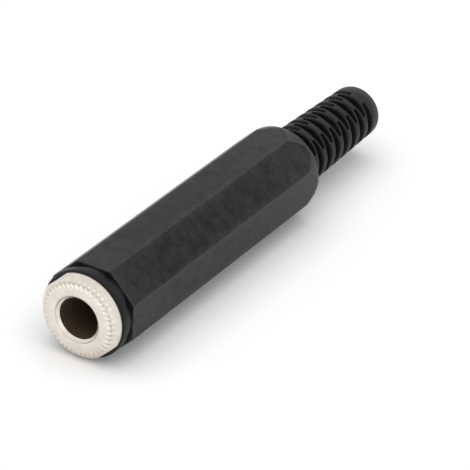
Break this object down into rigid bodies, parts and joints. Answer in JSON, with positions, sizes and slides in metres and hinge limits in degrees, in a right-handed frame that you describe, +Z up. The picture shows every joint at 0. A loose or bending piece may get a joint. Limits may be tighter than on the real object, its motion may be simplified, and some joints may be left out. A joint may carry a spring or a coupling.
{
  "type": "in-line audio jack socket",
  "caption": "Octagonal in-line cable socket with a knurled metal mouth for a jack plug, sprung contacts inside and a slotted strain-relief boot.",
  "frame": {"origin": "centre of the ferrule's front face, where the plug goes in", "axes": "+Y along the socket from the mouth to the cable, +Z up, lying on the lower flat of the octagon"},
  "size_m": [0.0138, 0.0796, 0.0138],
  "materials": {
    "housing_plastic": "moulded satin black",
    "collar_plastic": "moulded semi-gloss black",
    "boot_vinyl": "soft moulded black",
    "nickel_plate": "satin nickel plate on turned brass",
    "frame_metal": "nickel plated sheet",
    "spring_bronze": "bright phosphor bronze",
    "phenolic": "brown phenolic paper board",
    "rivet_metal": "bright",
    "tube_plastic": "natural",
    "liner_plastic": "milky"
  },
  "bodies": {
    "insert": {"front_collar": "collar_plastic", "front_ferrule": "nickel_plate", "sleeve_frame": "frame_metal", "lower_wafer": "phenolic", "middle_wafer": "phenolic", "upper_wafer": "phenolic", "pressure_plate": "frame_metal", "stack_rivets": "rivet_metal", "rivet_tubes": "tube_plastic"},
    "tip_contact": {"tip_spring": "spring_bronze"},
    "ring_contact": {"ring_spring": "spring_bronze"},
    "liner": {"insulating_sleeve": "liner_plastic"},
    "boot": {"strain_relief_boot": "boot_vinyl"},
    "cover": {"housing": "housing_plastic"}
  },
  "joints": [
    {"name": "tip_flex", "type": "hinge", "parent": "insert", "child": "tip_contact", "pos_m": [0, 0.0344, 0.0004], "axis": [-1, 0, 0], "range_deg": [0, 5.6], "stiffness_Nm_per_rad": 0.07, "deforming": ["tip_spring"]},
    {"name": "ring_flex", "type": "hinge", "parent": "insert", "child": "ring_contact", "pos_m": [0, 0.0344, -0.0004], "axis": [1, 0, 0], "range_deg": [0, 1], "stiffness_Nm_per_rad": 0.3, "deforming": ["ring_spring"]},
    {"name": "cover_draw", "type": "slide", "parent": "insert", "child": "liner", "axis": [0, 1, 0], "range_m": [0, 0.048]},
    {"name": "thread_advance", "type": "slide", "parent": "liner", "child": "boot", "axis": [0, 1, 0], "range_m": [0, 0.0045]},
    {"name": "cover_turn", "type": "hinge", "parent": "boot", "child": "cover", "pos_m": [0, 0.05, 0], "axis": [0, 1, 0], "range_deg": [0, 1080]}
  ],
  "couplings": [
    {"joint": "thread_advance", "follows": "cover_turn", "m_per_rad": 0.00023873}
  ]
}
